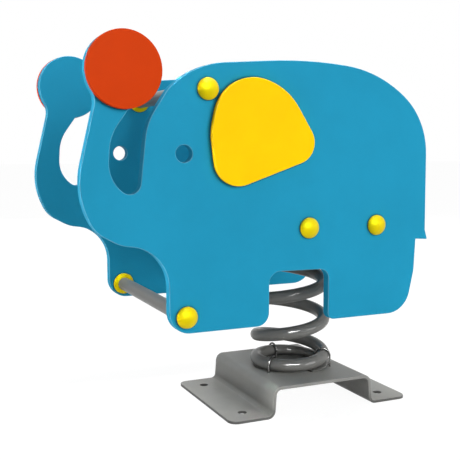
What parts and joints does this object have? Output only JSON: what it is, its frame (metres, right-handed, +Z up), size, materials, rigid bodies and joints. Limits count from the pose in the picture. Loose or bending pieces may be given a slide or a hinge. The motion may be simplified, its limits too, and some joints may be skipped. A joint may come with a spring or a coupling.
{
  "type": "playground spring rider",
  "caption": "Elephant-shaped spring rider: side panels with a seat, handlebar and footrest between them, on a coil spring clamped to a folded steel base.",
  "frame": {"origin": "on the ground, at the centre of the anchor hole pattern, under the spring's axis", "axes": "+X forward towards the trunk, +Y to the rider's left, +Z up along the spring's axis"},
  "size_m": [0.691, 0.43, 0.7055],
  "materials": {
    "blue_board": "through-coloured polyethylene board, satin, with a fine skin texture and rounded edges",
    "yellow_board": "through-coloured polyethylene board, satin",
    "orange_board": "through-coloured polyethylene board, satin",
    "yellow_moulding": "moulded plastic, glossy",
    "coated_steel": "grey powder coat, satin, slight orange peel",
    "coated_spring": "grey powder coat over hot-wound spring steel, glossier than the plate",
    "zinc_steel": "zinc-plated fasteners"
  },
  "bodies": {
    "base": {"base_plate": "coated_steel", "lower_spring_clamps": "coated_steel", "lower_clamp_washers": "zinc_steel", "lower_clamp_nuts": "zinc_steel"},
    "spring": {"coil_spring": "coated_spring"},
    "rider": {"upper_spring_clamps": "coated_steel", "upper_clamp_washers": "zinc_steel", "upper_clamp_nuts": "zinc_steel", "seat_bracket": "coated_steel", "seat_board": "blue_board", "seat_screws": "zinc_steel", "seat_bolts": "zinc_steel", "seat_nuts": "zinc_steel", "left_side_panel": "blue_board", "right_side_panel": "blue_board", "left_ear": "yellow_board", "right_ear": "yellow_board", "left_ball_disc": "orange_board", "right_ball_disc": "orange_board", "trim_dowels": "yellow_board", "handlebar": "coated_steel", "footrest": "coated_steel", "tube_plugs": "zinc_steel", "tube_collars": "yellow_moulding", "tube_bolts": "zinc_steel", "bolt_washers": "zinc_steel", "cap_bases": "yellow_moulding", "bolt_caps": "yellow_moulding"}
  },
  "joints": [
    {"name": "rock", "type": "hinge", "parent": "base", "child": "spring", "pos_m": [0, 0, 0.15], "axis": [0, 1, 0], "range_deg": [-15, 15], "stiffness_Nm_per_rad": 2660, "deforming": ["coil_spring"]},
    {"name": "sway", "type": "hinge", "parent": "spring", "child": "rider", "pos_m": [0, 0, 0.27], "axis": [1, 0, 0], "range_deg": [-10, 10], "stiffness_Nm_per_rad": 2660, "deforming": ["coil_spring"]}
  ]
}
